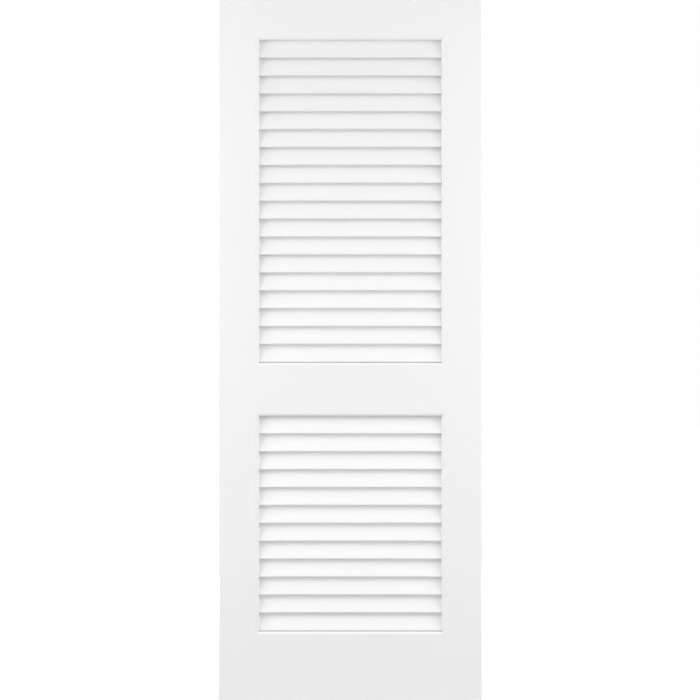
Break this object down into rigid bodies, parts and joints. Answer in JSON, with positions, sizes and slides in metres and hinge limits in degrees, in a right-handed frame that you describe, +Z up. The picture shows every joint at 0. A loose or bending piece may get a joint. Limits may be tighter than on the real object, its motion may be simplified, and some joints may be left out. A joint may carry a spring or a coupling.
{
  "type": "louvred door",
  "caption": "White-painted wooden louvred door slab: stiles and rails around an upper and a lower opening, each filled with fixed sloping slats that let air through.",
  "frame": {"origin": "bottom end of the hinge edge, at the middle of the door's thickness", "axes": "+X across the door from the hinge edge, +Y through the thickness to the back face, +Z up"},
  "size_m": [0.762, 0.035, 2.032],
  "materials": {
    "frame_paint": "white satin paint on wood",
    "slat_paint": "white satin paint on wood"
  },
  "bodies": {
    "root": {"left_stile": "frame_paint", "right_stile": "frame_paint", "top_rail": "frame_paint", "lock_rail": "frame_paint", "bottom_rail": "frame_paint", "upper_slat_01": "slat_paint", "upper_slat_02": "slat_paint", "upper_slat_03": "slat_paint", "upper_slat_04": "slat_paint", "upper_slat_05": "slat_paint", "upper_slat_06": "slat_paint", "upper_slat_07": "slat_paint", "upper_slat_08": "slat_paint", "upper_slat_09": "slat_paint", "upper_slat_10": "slat_paint", "upper_slat_11": "slat_paint", "upper_slat_12": "slat_paint", "upper_slat_13": "slat_paint", "upper_slat_14": "slat_paint", "upper_slat_15": "slat_paint", "upper_slat_16": "slat_paint", "upper_slat_17": "slat_paint", "upper_slat_18": "slat_paint", "lower_slat_01": "slat_paint", "lower_slat_02": "slat_paint", "lower_slat_03": "slat_paint", "lower_slat_04": "slat_paint", "lower_slat_05": "slat_paint", "lower_slat_06": "slat_paint", "lower_slat_07": "slat_paint", "lower_slat_08": "slat_paint", "lower_slat_09": "slat_paint", "lower_slat_10": "slat_paint", "lower_slat_11": "slat_paint", "lower_slat_12": "slat_paint"}
  },
  "joints": []
}
